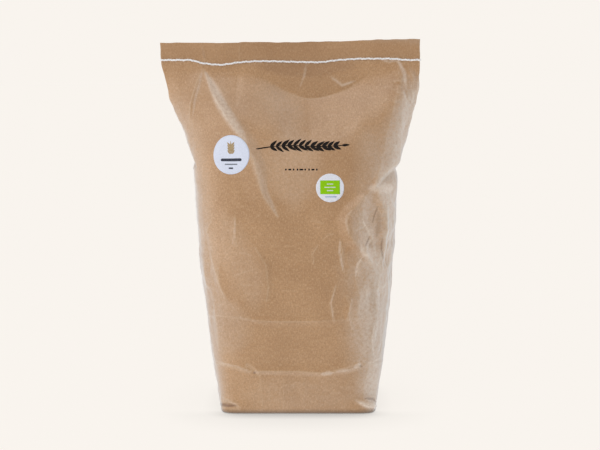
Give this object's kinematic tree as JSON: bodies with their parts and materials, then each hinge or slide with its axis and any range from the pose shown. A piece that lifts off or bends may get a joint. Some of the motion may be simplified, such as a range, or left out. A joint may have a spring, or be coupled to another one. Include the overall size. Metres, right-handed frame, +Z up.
{
  "type": "bag of flour",
  "caption": "Filled kraft paper bag of flour with a folded block bottom, a flat top sewn shut with white thread, and round labels on the front.",
  "frame": {"origin": "middle of the bag's box, on the surface it stands on", "axes": "+Z up, front with the labels towards -Y, +X to the right seen from the front"},
  "size_m": [0.281, 0.1268, 0.4005],
  "materials": {
    "kraft_paper": "unbleached brown kraft paper, slightly glazed, creased",
    "label_paper": "smooth white label paper",
    "sewing_thread": "matt white bag-closing thread"
  },
  "bodies": {
    "root": {"bag": "kraft_paper", "label_large": "label_paper", "label_small": "label_paper", "front_stitching": "sewing_thread", "back_stitching": "sewing_thread"}
  },
  "joints": []
}
